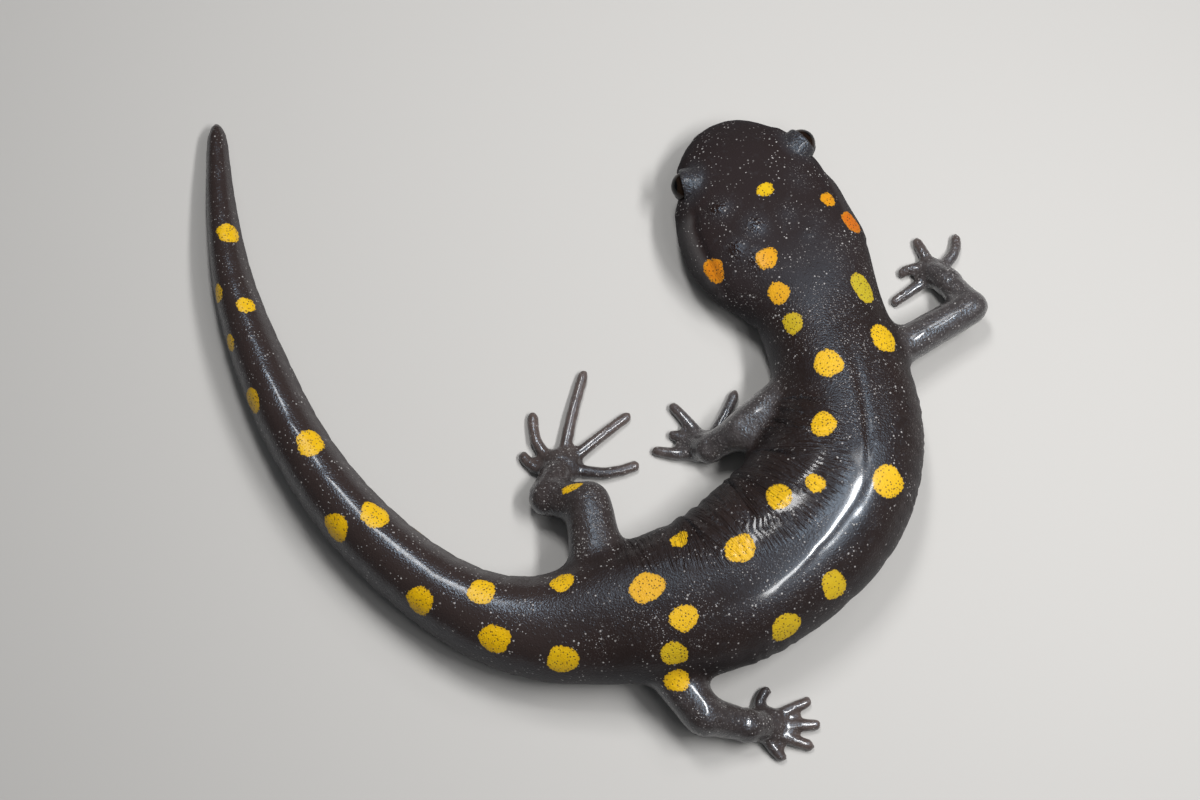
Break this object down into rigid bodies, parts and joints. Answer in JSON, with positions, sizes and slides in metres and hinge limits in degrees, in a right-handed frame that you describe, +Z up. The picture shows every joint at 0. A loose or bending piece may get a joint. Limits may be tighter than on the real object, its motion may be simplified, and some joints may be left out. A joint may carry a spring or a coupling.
{
  "type": "spotted salamander",
  "caption": "Life-size spotted salamander lying on the floor with its body and tail bent round in a wide hook, legs spread and mouth closed.",
  "frame": {"origin": "on the floor, under the middle of the box round the whole animal", "axes": "+Z up, +Y the way the head points, +X from the tail's side towards the head's side"},
  "size_m": [0.1038, 0.0858, 0.0154],
  "materials": {
    "skin": "wet and glossy over a fine grain, near black with round yellow spots in two rows",
    "limb": "wet and glossy over a fine grain, dark grey with paler toes",
    "eye": "polished, near black"
  },
  "bodies": {
    "root": {"head": "skin", "lower_jaw": "skin", "eye_left": "eye", "eye_right": "eye", "neck": "skin", "trunk_front": "skin", "trunk_middle": "skin", "trunk_rear": "skin", "pelvis": "skin", "tail_root": "skin", "tail_front": "skin", "tail_rear": "skin", "tail_tip": "skin", "upper_arm_left": "limb", "forearm_left": "limb", "hand_left": "limb", "upper_arm_right": "limb", "forearm_right": "limb", "hand_right": "limb", "thigh_left": "limb", "shank_left": "limb", "foot_left": "limb", "thigh_right": "limb", "shank_right": "limb", "foot_right": "limb"}
  },
  "joints": []
}
